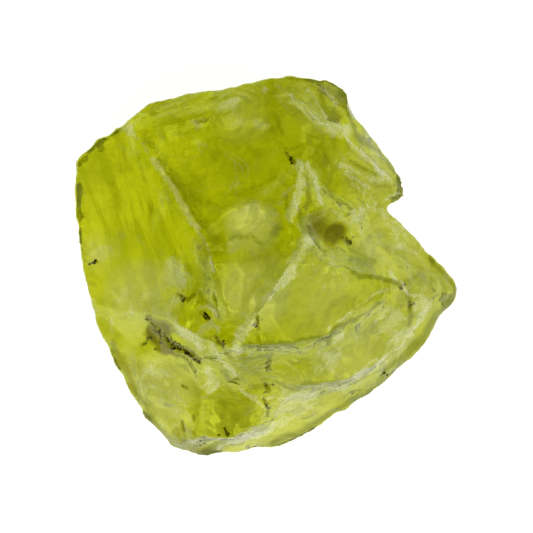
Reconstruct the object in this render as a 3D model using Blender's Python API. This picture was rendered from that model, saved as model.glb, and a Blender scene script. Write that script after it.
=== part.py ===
# A rough peridot crystal: one broken grain of olivine, lying on its flattest fracture face.
# The stone is drawn as the lines where its faces meet. Each face is then stretched between
# those lines like a film, hollowed as shell-like fractures are, and scalloped.
# Blender units are metres, +Z is up, and the origin is the middle of the footprint at the resting plane.
import math
import random

import bmesh
import bpy
from mathutils import Vector, noise
from mathutils.geometry import delaunay_2d_cdt
from mathutils.kdtree import KDTree

# Driving dimensions in millimetres
LENGTH = 13.9
WIDTH = 13.9
HEIGHT = 8.9
LONGEST_EDGE = 0.55
FACE_HOLLOW = 0.16
HOLLOW_REACH = 1.3
CREASE_WANDER = 0.07
CREASE_WANDER_SIZE = 0.8
SWELL_HEIGHT = 0.07
SWELL_SIZE = 1.7
METRES = 0.001
GROUND = 1e-6
SEED = 11
# Blender's vector noise takes its seed from the clock, unless one is set
CREASE_SEED = 1796090356

# The rim, the outermost edge all round, clockwise from the upper left corner as seen from above
rim = [
    (-6.9, 3.85, 5.6), (-6.25, 4.5, 5.9), (-5.2, 5.15, 6.2), (-4.2, 5.9, 6.0), (-3.1, 6.2, 5.8),
    (-1.6, 6.4, 5.7), (-0.3, 6.7, 5.8), (0.9, 6.95, 6.0), (2.15, 6.8, 6.15), (2.95, 6.25, 6.1),
    (3.3, 5.35, 5.7), (3.85, 4.6, 4.8), (4.5, 3.95, 4.7), (4.95, 3.15, 4.7), (5.15, 2.5, 4.9),
    (4.4, 2.05, 5.0), (5.1, 1.35, 4.8), (6.0, 0.4, 4.4), (6.65, -0.25, 4.1), (6.9, -0.7, 4.0),
    (6.95, -1.05, 3.9), (6.75, -1.5, 3.8), (6.25, -1.9, 3.7), (5.95, -2.45, 3.6), (5.6, -3.0, 3.5),
    (5.0, -3.6, 3.5), (4.5, -4.2, 3.2), (3.6, -4.8, 3.2), (2.5, -5.4, 3.3), (1.7, -6.1, 2.9),
    (0.5, -6.6, 2.6), (-1.1, -6.8, 2.2), (-2.4, -6.95, 2.0), (-3.5, -6.6, 2.3), (-4.45, -5.55, 3.0),
    (-5.15, -4.3, 3.5), (-5.8, -2.95, 4.1), (-6.35, -1.5, 4.7), (-6.75, 0.3, 5.4), (-6.95, 2.1, 5.7),
]
upper_left_corner, top_left_corner = rim[2], rim[3]
spur_tip, notch, right_tip = rim[14], rim[15], rim[20]

# The two long ridges that run down the top and meet in front
left_ridge = [
    (-4.7, 4.8, 6.75), (-4.0, 3.7, 7.05), (-3.3, 2.6, 7.4), (-2.45, 1.3, 7.8), (-1.85, 0.1, 8.05),
    (-1.5, -1.3, 7.95), (-1.15, -2.9, 7.25),
]
right_ridge = [
    (1.25, 3.7, 7.55), (1.0, 2.8, 7.9), (0.85, 1.8, 8.3), (1.45, 0.9, 8.3), (0.8, 0.1, 8.65),
    (0.2, -1.0, 8.55), (-0.55, -2.0, 8.0), left_ridge[-1],
]
ridge_foot = left_ridge[-1]

# The raised flake between the two ridges
flake_top = [left_ridge[3], (-1.6, 1.8, 7.7), (-0.8, 2.25, 7.8), (0.2, 2.3, 7.95), right_ridge[2]]
flake_bottom = [left_ridge[4], (-0.9, 0.5, 7.9), (0.2, 0.9, 8.05), right_ridge[3]]

# The ledge in the lower left: its lip, and the foot of its wall
ledge_lip = [rim[37], (-4.6, -1.6, 5.9), (-3.6, -1.9, 6.5), (-2.6, -2.5, 7.0), ridge_foot]
ledge_foot = [ledge_lip[1], (-3.9, -2.75, 5.35), (-2.75, -3.35, 5.85), ridge_foot]
left_strip = [ledge_foot[1], (-4.75, -3.3, 4.6), (-4.45, -4.6, 3.8), rim[34]]

# The broken lower end
lower_shelf = [left_strip[2], (-3.4, -4.9, 4.2), (-2.2, -4.5, 4.7), (-1.0, -4.4, 5.0), (0.0, -4.2, 5.3)]
shelf_ribs = [
    [ledge_foot[2], lower_shelf[2]],
    [ridge_foot, lower_shelf[3]],
    [lower_shelf[2], (-2.7, -6.25, 3.9)],
]
lower_edge = [
    rim[33], shelf_ribs[2][1], (-1.3, -6.25, 4.3), (-0.4, -5.7, 4.5), (0.05, -4.9, 4.9), lower_shelf[4],
]

# The big smooth face right of the ridge, the steep face below it, and the band along the rim
smooth_face_top = [right_ridge[4], (2.0, 0.1, 8.1), (3.2, -0.1, 7.5), (4.2, -0.4, 6.6), (4.9, -0.6, 5.8)]
smooth_face_bottom = [
    ridge_foot, (-0.1, -2.8, 7.55), (1.2, -2.7, 7.4), (2.2, -2.5, 7.05), (3.0, -1.6, 7.15),
    (4.1, -1.2, 6.5), smooth_face_top[4],
]
steep_face_bottom = [
    lower_shelf[4], (1.4, -4.35, 5.5), (2.9, -4.1, 5.2), (4.1, -3.4, 4.8), (4.8, -2.6, 4.7),
    (5.1, -1.6, 5.2), smooth_face_top[4],
]
tip_ridge = [smooth_face_top[4], (6.0, -0.75, 5.1), right_tip]

# The block at the top right, and the spur that runs from it to the notch
block_edge = [
    rim[6], (0.3, 6.3, 6.2), (0.9, 5.8, 6.8), (1.6, 5.2, 7.0), (2.5, 4.75, 6.7), (3.3, 4.1, 6.3),
    (4.1, 3.3, 5.75), (4.6, 2.8, 5.1), spur_tip,
]
block_groove = [rim[7], (1.35, 6.35, 6.25), (1.95, 5.55, 6.45), block_edge[4]]
block_side = [block_edge[4], rim[10]]
spur_crease = [(2.5, 3.6, 6.35), (3.4, 3.05, 6.0), (4.1, 2.6, 5.45), spur_tip]
hollow_edge = [right_ridge[0], (1.85, 3.35, 6.95), spur_crease[0]]
spur_foot = [notch, (3.4, 2.1, 6.1), (2.6, 2.45, 6.5), (1.85, 3.0, 7.0), right_ridge[0]]
upper_edge = [
    top_left_corner, left_ridge[0], (-2.9, 5.3, 6.7), (-1.4, 5.5, 6.65), block_edge[1],
]
corner_chip = [upper_left_corner, left_ridge[0]]

# The small sunk pit right of the ridge, and the slopes between it and the right tip
pit_lip = [right_ridge[2], (2.1, 2.05, 7.45), (3.0, 1.9, 6.9), spur_foot[1]]
pit_floor = [
    right_ridge[3], (1.6, 1.5, 7.4), (2.85, 1.5, 6.5), (3.1, 0.85, 6.4), (1.95, 0.7, 7.3), right_ridge[3],
]
right_slope = [pit_floor[3], (4.0, 0.9, 5.9), rim[16]]

# The resting face, flat on the ground
resting_face = [
    (-6.2, 3.4, 0.0), (-4.3, 5.2, 0.0), (-2.2, 5.8, 0.0), (0.4, 6.2, 0.0), (2.25, 5.7, 0.0),
    (3.9, 3.6, 0.0), (4.0, 2.03, 0.0), (5.15, 0.15, 0.0), (6.2, -1.15, 0.0), (4.4, -3.15, 0.0),
    (1.9, -4.8, 0.0), (-0.7, -5.95, 0.0), (-2.95, -5.85, 0.0), (-4.35, -4.0, 0.0), (-5.65, -1.3, 0.0),
    (-6.3, 1.3, 0.0),
]

# The flanks: edges from the rim, through a shoulder, down to the resting face
flanks = [
    [rim[0], (-6.6, 3.65, 2.4), resting_face[0]],
    [rim[3], (-4.25, 5.6, 2.9), resting_face[1]],
    [rim[5], (-1.8, 6.15, 2.0), resting_face[2]],
    [rim[7], (0.7, 6.6, 2.9), resting_face[3]],
    [rim[9], (2.6, 6.0, 1.6), resting_face[4]],
    [rim[12], (4.2, 3.8, 2.3), resting_face[5]],
    [notch, (4.2, 2.04, 2.8), resting_face[6]],
    [rim[17], (5.55, 0.3, 1.6), resting_face[7]],
    [right_tip, (6.55, -1.1, 2.0), resting_face[8]],
    [rim[25], (4.75, -3.4, 1.2), resting_face[9]],
    [rim[28], (2.2, -5.1, 1.8), resting_face[10]],
    [rim[30], (-0.1, -6.3, 1.0), resting_face[11]],
    [rim[33], (-3.25, -6.25, 1.1), resting_face[12]],
    [rim[35], (-4.8, -4.2, 1.9), resting_face[13]],
    [rim[37], (-6.05, -1.45, 1.9), resting_face[14]],
    [rim[39], (-6.7, 1.8, 3.3), resting_face[15]],
]
shoulder = [flank[1] for flank in flanks]
belts = [
    [shoulder[0], shoulder[1]],
    [rim[4], shoulder[2]],
    [shoulder[3], shoulder[4]],
    [rim[10], shoulder[5]],
    [shoulder[6], shoulder[7]],
    [rim[18], shoulder[8], rim[24]],
    [shoulder[9], shoulder[10]],
    [shoulder[11], rim[31]],
    [shoulder[12], shoulder[13]],
    [shoulder[14], rim[38]],
    [shoulder[15], shoulder[0]],
]

UPPER_CREASES = [
    rim + rim[:1], left_ridge, right_ridge, flake_top, flake_bottom, ledge_lip, ledge_foot,
    left_strip, lower_shelf, *shelf_ribs, lower_edge, smooth_face_top, smooth_face_bottom,
    steep_face_bottom, tip_ridge, block_edge, block_groove, block_side, spur_crease, hollow_edge,
    spur_foot, upper_edge, corner_chip, pit_lip, pit_floor, right_slope,
]
LOWER_CREASES = [rim + rim[:1], resting_face + resting_face[:1], *flanks, *belts]

# Shell-shaped scallops knocked out of the faces: middle, radius and depth
SCALLOPS = [
    ((-4.9, 2.4, 6.6), 1.5, 0.18),
    ((-2.6, 4.2, 7.1), 1.6, 0.22),
    ((-0.4, 4.0, 7.4), 1.7, 0.20),
    ((-0.5, 3.2, 7.6), 1.0, 0.10),
    ((-0.5, 1.4, 8.0), 1.1, 0.16),
    ((-0.6, -0.9, 8.2), 0.9, 0.20),
    ((-2.2, -1.6, 7.3), 0.8, 0.20),
    ((-3.9, -0.7, 6.7), 1.1, 0.16),
    ((1.6, -1.2, 8.0), 1.5, 0.14),
    ((2.9, -0.9, 7.3), 0.9, 0.12),
    ((2.3, -3.3, 6.3), 1.2, 0.20),
    ((4.0, -2.4, 5.8), 1.0, 0.18),
    ((0.9, -3.6, 6.4), 0.8, 0.14),
    ((-1.6, -5.3, 4.8), 1.0, 0.22),
    ((-3.4, -3.9, 5.0), 1.0, 0.20),
    ((-3.4, -5.8, 4.0), 0.8, 0.18),
    ((0.9, -5.3, 4.2), 0.8, 0.16),
    ((2.9, 5.4, 5.8), 0.8, 0.18),
    ((3.4, 3.9, 6.2), 0.7, 0.14),
    ((3.9, 1.4, 5.8), 0.8, 0.18),
    ((5.5, 0.0, 4.9), 0.8, 0.16),
    ((-5.2, 4.4, 6.3), 0.6, 0.12),
    ((-6.6, 0.6, 3.8), 1.4, 0.22),
    ((-5.4, 4.7, 3.6), 1.5, 0.22),
    ((-1.8, 6.3, 3.0), 1.3, 0.24),
    ((1.7, 6.4, 3.2), 1.2, 0.20),
    ((3.8, 4.0, 3.2), 1.1, 0.20),
    ((5.7, -1.9, 2.2), 1.0, 0.18),
    ((3.7, -3.9, 2.2), 1.2, 0.22),
    ((1.1, -5.6, 2.0), 1.1, 0.20),
    ((-1.6, -6.4, 1.2), 0.9, 0.14),
    ((-4.1, -5.2, 2.1), 1.1, 0.18),
    ((-5.5, -2.9, 2.6), 1.3, 0.22),
    ((-6.7, 2.9, 3.6), 1.2, 0.24),
    ((-6.3, -0.9, 3.1), 1.1, 0.24),
    ((-5.0, -4.0, 1.9), 0.8, 0.18),
    ((-3.2, 6.0, 2.5), 1.1, 0.26),
    ((0.0, 6.6, 2.8), 1.2, 0.24),
    ((3.0, 5.2, 3.6), 1.1, 0.22),
    ((2.7, 5.3, 1.6), 0.9, 0.18),
    ((4.6, 1.2, 2.8), 1.1, 0.24),
    ((5.6, 0.1, 2.2), 0.8, 0.18),
    ((4.9, -2.9, 2.0), 0.9, 0.18),
    ((2.6, -4.9, 1.7), 0.9, 0.18),
    ((0.1, -6.2, 1.6), 0.9, 0.18),
    ((-3.2, -6.2, 1.6), 0.8, 0.16),
    ((-1.9, -6.5, 3.0), 0.8, 0.14),
    ((-5.6, 4.2, 1.4), 1.3, 0.22),
    ((-3.4, 5.8, 4.1), 1.2, 0.24),
    ((-0.6, 6.5, 4.3), 1.0, 0.20),
    ((2.2, 6.2, 4.2), 1.1, 0.22),
    ((1.2, 6.2, 1.3), 1.0, 0.20),
    ((-2.4, 5.9, 0.9), 0.9, 0.16),
    ((4.9, 1.0, 3.6), 0.9, 0.18),
    ((6.3, -0.5, 2.5), 0.8, 0.18),
    ((-6.5, 1.9, 1.6), 1.1, 0.20),
]


def add_skin(bm, corners, creases):
    """Fill the net of creases with triangles, as seen from above, and mark the creases sharp."""
    points = list(dict.fromkeys(point for line in creases for point in line))
    joins = [
        (points.index(start), points.index(end))
        for line in creases
        for start, end in zip(line, line[1:])
    ]
    flat = [Vector(point[:2]) for point in points]
    places, edges, triangles, sources, edge_sources, _ = delaunay_2d_cdt(flat, joins, [], 1, 1e-6)
    if len(places) != len(points):
        raise ValueError("two creases cross between their points")
    found = []
    for source in sources:
        point = points[source[0]]
        if point not in corners:
            corners[point] = bm.verts.new(point)
        found.append(corners[point])
    for triangle in triangles:
        bm.faces.new([found[index] for index in triangle])
    for (start, end), source in zip(edges, edge_sources):
        if source:
            bm.edges.get((found[start], found[end])).smooth = False


def is_inside_resting_face(edge):
    return edge.smooth and max(vertex.co.z for vertex in edge.verts) < GROUND


def split_long_edges(bm, longest):
    """Halve every edge longer than the limit until none is left, turning edges to keep triangles plump."""
    while True:
        long_edges = [
            edge for edge in bm.edges if edge.calc_length() > longest and not is_inside_resting_face(edge)
        ]
        if not long_edges:
            break
        bmesh.ops.subdivide_edges(bm, edges=long_edges, cuts=1)
        bmesh.ops.triangulate(bm, faces=[face for face in bm.faces if len(face.verts) > 3])
        inner = [edge for edge in bm.edges if edge.smooth]
        bmesh.ops.beautify_fill(bm, faces=bm.faces[:], edges=inner)


def creased_vertices(bm):
    return {vertex for edge in bm.edges if not edge.smooth for vertex in edge.verts}


def stretch_faces(bm, held, rounds):
    """Let each vertex inside a face settle between its neighbours, so that the face is a taut film."""
    free = [vertex for vertex in bm.verts if vertex not in held]
    neighbours = [[edge.other_vert(vertex) for edge in vertex.link_edges] for vertex in free]
    for _ in range(rounds):
        for vertex, around in zip(free, neighbours):
            vertex.co = sum((other.co for other in around), Vector()) / len(around)


def hollow_faces(bm, held, resting):
    """Press each face in between its creases, deepest away from them."""
    tree = KDTree(len(held))
    for index, vertex in enumerate(held):
        tree.insert(vertex.co, index)
    tree.balance()
    moves = []
    for vertex in bm.verts:
        if vertex in held or vertex in resting:
            continue
        distance = tree.find(vertex.co)[2]
        share = min(distance / HOLLOW_REACH, 1.0)
        patch = 0.6 + 0.8 * noise.noise(vertex.co / 3.0)
        moves.append((vertex, vertex.normal * (-FACE_HOLLOW * patch * math.sin(share * math.pi / 2))))
    for vertex, move in moves:
        vertex.co += move


def scallop_faces(bm, resting):
    """Knock the shell-shaped scallops out of the faces, with a small ripple in each."""
    bm.normal_update()
    moves = []
    for vertex in bm.verts:
        depth = 0.0
        for middle, radius, deepest in SCALLOPS:
            reach = (vertex.co - Vector(middle)).length / radius
            if reach < 1.0:
                ripple = 1.0 + 0.25 * math.cos(reach * 3.0 * math.pi)
                depth = max(depth, deepest * (1.0 - reach * reach) * ripple)
        if depth and vertex not in resting:
            moves.append((vertex, vertex.normal * -depth))
    for vertex, move in moves:
        vertex.co += move


def roughen(bm, held, resting):
    """Wander the creases and swell the faces, as broken stone does."""
    shift = Vector((random.uniform(0, 50), random.uniform(0, 50), random.uniform(0, 50)))
    bm.normal_update()
    moves = []
    for vertex in bm.verts:
        if vertex in resting:
            continue
        if vertex in held:
            move = noise.noise_vector(vertex.co / CREASE_WANDER_SIZE + shift) * CREASE_WANDER
        else:
            move = vertex.normal * (SWELL_HEIGHT * noise.noise(vertex.co / SWELL_SIZE + shift))
        moves.append((vertex, move))
    for vertex, move in moves:
        vertex.co += move


def fit_to_size(bm):
    """Bring the stone to its real length, width and height, over the middle of its footprint."""
    lowest = Vector(min(vertex.co[axis] for vertex in bm.verts) for axis in range(3))
    highest = Vector(max(vertex.co[axis] for vertex in bm.verts) for axis in range(3))
    size = highest - lowest
    for vertex in bm.verts:
        share = vertex.co - lowest
        vertex.co.x = (share.x / size.x - 0.5) * LENGTH * METRES
        vertex.co.y = (share.y / size.y - 0.5) * WIDTH * METRES
        vertex.co.z = share.z / size.z * HEIGHT * METRES


def peridot_material():
    material = bpy.data.materials.new("clear_olive_peridot")
    material.use_nodes = True
    shader = material.node_tree.nodes["Principled BSDF"]
    shader.inputs["Base Color"].default_value = (0.33, 0.42, 0.01, 1.0)
    shader.inputs["Metallic"].default_value = 0.0
    shader.inputs["Roughness"].default_value = 0.12
    shader.inputs["IOR"].default_value = 1.67
    shader.inputs["Transmission Weight"].default_value = 1.0
    return material


def peridot_crystal():
    bm = bmesh.new()
    corners = {}
    add_skin(bm, corners, UPPER_CREASES)
    add_skin(bm, corners, LOWER_CREASES)
    bmesh.ops.recalc_face_normals(bm, faces=bm.faces[:])
    split_long_edges(bm, LONGEST_EDGE)
    held = creased_vertices(bm)
    stretch_faces(bm, held, 60)
    bm.normal_update()
    resting = {vertex for vertex in bm.verts if vertex.co.z < GROUND}
    hollow_faces(bm, held, resting)
    scallop_faces(bm, resting)
    roughen(bm, held, resting)
    fit_to_size(bm)
    mesh = bpy.data.meshes.new("peridot_crystal")
    bm.to_mesh(mesh)
    bm.free()
    mesh.shade_smooth()
    mesh.set_sharp_from_angle(angle=math.radians(20))
    mesh.materials.append(peridot_material())
    stone = bpy.data.objects.new("peridot_crystal", mesh)
    bpy.context.scene.collection.objects.link(stone)
    return stone


for old_object in list(bpy.data.objects):
    bpy.data.objects.remove(old_object)
random.seed(SEED)
noise.seed_set(CREASE_SEED)
peridot_crystal()
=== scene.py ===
import math
import random

import bmesh
import bpy
import numpy as np
from mathutils import Matrix, Vector, noise
from mathutils.bvhtree import BVHTree
from mathutils.kdtree import KDTree


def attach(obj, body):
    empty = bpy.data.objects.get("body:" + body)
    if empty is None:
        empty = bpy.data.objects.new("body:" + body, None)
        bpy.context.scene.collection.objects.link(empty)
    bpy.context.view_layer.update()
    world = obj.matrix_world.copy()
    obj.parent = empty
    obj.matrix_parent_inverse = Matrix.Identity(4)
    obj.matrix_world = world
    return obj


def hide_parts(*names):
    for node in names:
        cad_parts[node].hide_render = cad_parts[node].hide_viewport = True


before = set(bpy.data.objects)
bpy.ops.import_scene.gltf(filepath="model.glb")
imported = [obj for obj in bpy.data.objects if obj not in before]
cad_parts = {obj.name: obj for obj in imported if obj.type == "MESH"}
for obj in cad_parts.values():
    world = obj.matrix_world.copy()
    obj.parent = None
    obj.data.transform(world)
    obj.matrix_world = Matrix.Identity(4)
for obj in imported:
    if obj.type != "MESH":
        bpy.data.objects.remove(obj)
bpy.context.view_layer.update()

# The peridot crystal: one clear yellow-olive stone, broken all round by shell-like fractures.
# Its big faces come with the frame; here they get the ripples, chips, steps and striations that
# the breaking left. It lies loose on its flat face, and nothing holds it.

# Sizes of the stone and its grains are in millimetres, and this brings them to metres
MM = 0.001
SHARP_FACE_ANGLE = math.radians(20)
CREASE_SHARPNESS = 0.8
NET_WIDTH = 0.084
EDGE_WEAR_ROUNDS = 3
# Points lower than this belong to the resting face, which has shallow dents
GROUND = 0.02
BASE_DENT = 0.16
BASE_DENT_SPACING = 0.9


def fine_stone_mesh():
    """The frame's stone in millimetres, with smooth faces, worn edges and an even fine net of points."""
    mesh = bpy.data.objects["peridot_crystal"].data.copy()
    bm = bmesh.new()
    bm.from_mesh(mesh)
    bmesh.ops.remove_doubles(bm, verts=bm.verts[:], dist=1e-7)
    bmesh.ops.scale(bm, vec=(1 / MM, 1 / MM, 1 / MM), verts=bm.verts[:])
    crease = bm.edges.layers.float.get("crease_edge") or bm.edges.layers.float.new("crease_edge")
    for edge in bm.edges:
        if edge.is_manifold and edge.calc_face_angle() > SHARP_FACE_ANGLE:
            edge[crease] = CREASE_SHARPNESS
    bm.to_mesh(mesh)
    bm.free()
    draft = bpy.data.objects.new("stone_draft", mesh)
    bpy.context.scene.collection.objects.link(draft)
    smooth = draft.modifiers.new("smooth_faces", "SUBSURF")
    smooth.levels = 2
    smooth.render_levels = 2
    net = draft.modifiers.new("even_net", "REMESH")
    net.mode = "VOXEL"
    net.voxel_size = NET_WIDTH
    wear = draft.modifiers.new("edge_wear", "SMOOTH")
    wear.factor = 0.5
    wear.iterations = EDGE_WEAR_ROUNDS
    evaluated = draft.evaluated_get(bpy.context.evaluated_depsgraph_get())
    fine = bpy.data.meshes.new_from_object(evaluated)
    bpy.data.objects.remove(draft)
    return fine


stone_mesh = fine_stone_mesh()

# Places on top of the stone, as seen from above: middle, radius and strength. First the faces
# that broke smoothly
CALM_FACES = [
    ((-5.2, 2.2), 2.4, 0.8), ((-1.2, 3.8), 2.4, 0.6), ((1.9, 4.2), 1.5, 0.6), ((2.0, -1.2), 2.0, 0.8),
    ((2.9, -3.2), 1.3, 0.4), ((-1.2, -5.2), 0.9, 0.8), ((2.4, 6.0), 0.7, 0.7),
]
# Breaks frosted by tiny steps, which look pale
FROSTED_PATCHES = [
    ((-0.5, 1.9), 0.7, 1.0), ((-0.1, 1.7), 0.6, 1.0), ((-1.1, 0.8), 0.6, 0.9), ((-0.5, 0.6), 0.5, 0.8),
    ((-0.3, -0.7), 0.9, 0.6), ((-1.0, -1.6), 0.7, 0.4), ((-4.8, -1.1), 1.0, 1.0), ((-3.3, -0.3), 0.7, 0.9),
    ((-3.8, -1.3), 0.9, 0.8), ((-6.0, 0.5), 0.7, 0.8), ((-2.2, -2.3), 0.6, 0.6), ((-1.5, -3.2), 0.5, 0.5),
    ((-4.0, -4.0), 0.9, 0.9), ((-3.6, -4.6), 0.9, 0.7), ((-2.1, -4.1), 0.4, 1.0), ((-3.5, -5.4), 0.7, 0.6),
    ((2.4, -3.5), 1.2, 0.5), ((4.5, -2.5), 1.1, 0.7), ((1.1, -5.0), 1.1, 0.8), ((3.2, -4.4), 0.6, 0.6),
    ((3.4, 1.6), 0.7, 0.6), ((4.6, 1.1), 1.0, 0.6), ((5.6, -0.3), 0.7, 0.4), ((5.6, -1.5), 0.5, 0.9),
    ((4.0, 3.4), 0.9, 0.5), ((2.3, 4.95), 0.35, 1.0), ((2.85, 4.8), 0.35, 0.7), ((1.3, 6.1), 0.8, 0.5),
    ((-1.2, 5.5), 0.9, 0.6), ((-0.3, 5.3), 0.5, 0.8), ((-2.4, 5.3), 0.7, 0.4), ((-5.0, 4.9), 0.35, 1.0),
    ((-0.1, 6.3), 0.2, 1.0), ((2.4, -0.8), 1.8, 0.25), ((0.5, 2.4), 0.5, 0.5), ((-1.4, 2.8), 0.6, 0.3),
]
# Faces with a thin even haze of frost
HAZY_FACES = [
    ((2.2, -0.9), 2.4, 0.26), ((3.4, -3.2), 2.2, 0.42), ((4.5, 1.0), 1.9, 0.42), ((5.8, -0.9), 1.4, 0.36),
    ((1.2, -5.2), 1.7, 0.52), ((4.0, 3.2), 1.4, 0.38), ((1.7, 6.0), 1.3, 0.22), ((-3.9, -4.4), 1.5, 0.70),
    ((-4.5, -1.2), 1.6, 0.78), ((-0.3, -0.8), 1.7, 0.54), ((-0.5, 1.4), 1.1, 0.80), ((-2.4, -3.4), 1.1, 0.35),
    ((-6.0, 0.5), 0.9, 0.35), ((-1.0, 5.4), 1.2, 0.20), ((3.0, 1.8), 1.0, 0.25),
]
# Rust-brown stain in the open crack, in the pit and along the left edge
STAINS = [
    ((-3.9, -2.4), 0.65, 1.3), ((-3.6, -2.8), 0.55, 1.1), ((-3.1, -3.0), 0.4, 0.6), ((-5.1, -3.6), 0.6, 0.5),
    ((-4.9, -4.2), 0.5, 0.4), ((1.9, 1.5), 0.7, 0.8), ((2.5, 1.2), 0.6, 1.0), ((-2.6, -6.5), 0.7, 0.35),
    ((-3.2, -6.1), 0.5, 0.4), ((-5.6, 2.4), 0.7, 0.30), ((-6.0, 1.9), 0.4, 0.3), ((5.2, 0.5), 0.5, 0.25),
]
# Zones where the stone is painted a deeper green, as painted shade where it looks darker
DEEP_SHADE_ZONES = [
    ((-0.6, 3.9), 2.7, 0.50), ((-2.6, 2.6), 0.9, 0.55), ((-1.4, -5.2), 1.5, 0.85), ((2.3, 5.5), 0.5, 1.0),
    ((1.9, 4.1), 1.3, 0.65), ((-2.3, -0.6), 0.9, 0.7), ((2.1, 1.5), 0.8, 0.9), ((3.5, 0.2), 0.7, 0.7),
    ((-6.3, 3.4), 1.0, 0.5), ((1.0, -1.2), 1.9, 0.25), ((-2.6, -4.4), 0.5, 0.7), ((-2.8, -6.4), 0.8, 0.9),
    ((4.4, -3.0), 1.4, 0.45), ((-0.4, -3.7), 1.0, 0.7), ((0.35, 1.4), 0.35, 1.0), ((4.0, 3.0), 1.7, 0.45),
    ((1.6, 5.8), 1.7, 0.45), ((-4.9, -3.6), 0.6, 0.6), ((2.4, -3.9), 1.8, 0.45), ((-3.9, -4.6), 1.3, 0.4),
    ((5.9, -0.7), 1.4, 0.5), ((-3.2, 5.7), 1.4, 0.6), ((-1.2, 6.1), 1.4, 0.6), ((0.4, 6.4), 1.0, 0.6),
    ((2.2, 2.9), 0.6, 0.7), ((0.2, 5.0), 1.0, 0.5), ((-5.7, 3.6), 0.9, 0.4), ((-5.5, 2.5), 0.8, 0.3),
    ((-4.9, 1.0), 0.6, 0.4), ((-4.3, -0.2), 0.5, 0.4), ((-6.6, 2.0), 0.5, 0.3), ((3.6, -2.2), 0.8, 0.3),
    ((0.2, -2.8), 0.9, 0.6), ((-1.8, 1.0), 0.8, 0.5), ((0.1, 0.5), 0.6, 0.5),
]
# Zones where the stone is clear and even, and so brighter
CLEAR_ZONES = [
    ((-5.0, 1.8), 3.6, 1.0), ((-3.2, -0.4), 2.0, 0.6), ((-3.1, -2.3), 0.6, 0.5), ((-0.6, 1.6), 1.0, 0.9),
]
# Pale lines of crushed stone, along the ridges and on the breaks: points, half width, strength
PALE_LINES = [
    ([(-5.1, 5.0), (-4.6, 4.6), (-4.1, 3.9)], 0.11, 0.8),
    ([(-4.1, 3.9), (-3.5, 3.1), (-3.0, 2.2), (-2.4, 1.4)], 0.15, 1.7),
    ([(-2.4, 1.4), (-2.15, 0.6), (-1.9, -0.2)], 0.09, 0.8),
    ([(1.15, 3.65), (1.25, 2.9), (1.1, 2.3), (0.85, 1.7)], 0.24, 1.2),
    ([(1.05, 2.9), (0.5, 2.5)], 0.16, 0.6),
    ([(1.5, 1.0), (1.25, 0.6), (0.9, 0.1), (0.75, -0.3)], 0.36, 1.1),
    ([(0.75, -0.3), (0.1, -1.1), (-0.4, -1.7), (-0.8, -2.3), (-1.05, -2.9)], 0.30, 1.3),
    ([(1.5, 3.6), (1.75, 3.0), (1.95, 2.3)], 0.13, 1.0),
    ([(2.5, 2.0), (2.9, 1.5)], 0.14, 0.6),
    ([(-4.4, -1.5), (-3.6, -1.8), (-3.2, -2.1), (-2.8, -2.5), (-2.4, -2.9)], 0.26, 1.0),
    ([(-2.4, -1.5), (-2.0, -1.45), (-1.75, -1.8)], 0.12, 0.9),
    ([(-2.5, -2.4), (-2.1, -2.2), (-1.7, -2.3)], 0.15, 0.8),
    ([(-2.0, -2.9), (-1.6, -3.4), (-1.2, -3.9)], 0.18, 0.7),
    ([(-4.2, -3.4), (-4.2, -4.2)], 0.18, 0.8),
    ([(-5.55, -1.9), (-5.6, -2.4)], 0.12, 0.7),
    ([(-2.15, -3.8), (-2.1, -4.5), (-1.85, -4.2)], 0.18, 1.2),
    ([(0.4, 6.45), (0.9, 6.1), (1.4, 5.7), (1.8, 5.3), (2.2, 5.0)], 0.14, 0.7),
    ([(1.5, 6.4), (2.0, 5.7), (2.15, 5.1)], 0.10, 0.8),
    ([(1.9, 6.4), (2.5, 5.9), (2.75, 5.6)], 0.13, 0.7),
    ([(2.6, 4.85), (3.0, 4.5), (3.6, 4.0), (4.2, 3.5), (4.5, 3.2)], 0.10, 0.8),
    ([(3.0, 4.3), (3.7, 3.65), (4.3, 3.1)], 0.06, 0.6),
    ([(2.6, 3.6), (3.2, 3.35), (3.7, 3.15)], 0.14, 1.1),
    ([(2.8, 3.3), (3.3, 2.95), (3.8, 2.7)], 0.12, 1.0),
    ([(3.0, 2.9), (3.5, 2.6), (4.0, 2.3)], 0.09, 0.8),
    ([(4.3, 2.45), (4.8, 2.55)], 0.14, 0.9),
    ([(3.5, 2.2), (4.2, 2.05), (4.5, 1.3), (5.1, 0.6)], 0.16, 0.6),
    ([(4.95, 0.75), (5.35, 0.5)], 0.13, 1.0),
    ([(4.4, -0.1), (4.8, -0.5), (5.1, -0.9), (5.4, -1.1)], 0.11, 0.9),
    ([(3.3, -1.4), (4.0, -0.95), (5.0, -0.8)], 0.12, 0.6),
    ([(2.3, -2.3), (2.8, -1.8), (3.3, -1.4)], 0.13, 0.8),
    ([(2.4, -2.75), (2.8, -2.4)], 0.16, 0.8),
    ([(3.15, -4.05), (3.6, -3.6), (4.0, -3.3)], 0.16, 1.0),
    ([(4.0, -3.6), (4.5, -3.1), (5.0, -2.6)], 0.11, 0.9),
    ([(5.1, -2.5), (5.4, -2.1), (5.6, -1.8), (5.75, -1.4), (5.6, -1.1)], 0.20, 0.9),
    ([(-0.9, -4.4), (-0.5, -4.8), (-0.1, -5.1)], 0.12, 1.0),
    ([(-0.5, -4.7), (0.3, -4.8), (1.2, -4.7), (1.7, -4.6)], 0.15, 0.8),
    ([(0.3, -5.7), (0.8, -5.45), (1.1, -5.35)], 0.16, 1.3),
    ([(-1.6, -6.6), (-0.8, -6.2), (0.0, -5.9), (0.7, -5.6)], 0.20, 0.9),
]
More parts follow.
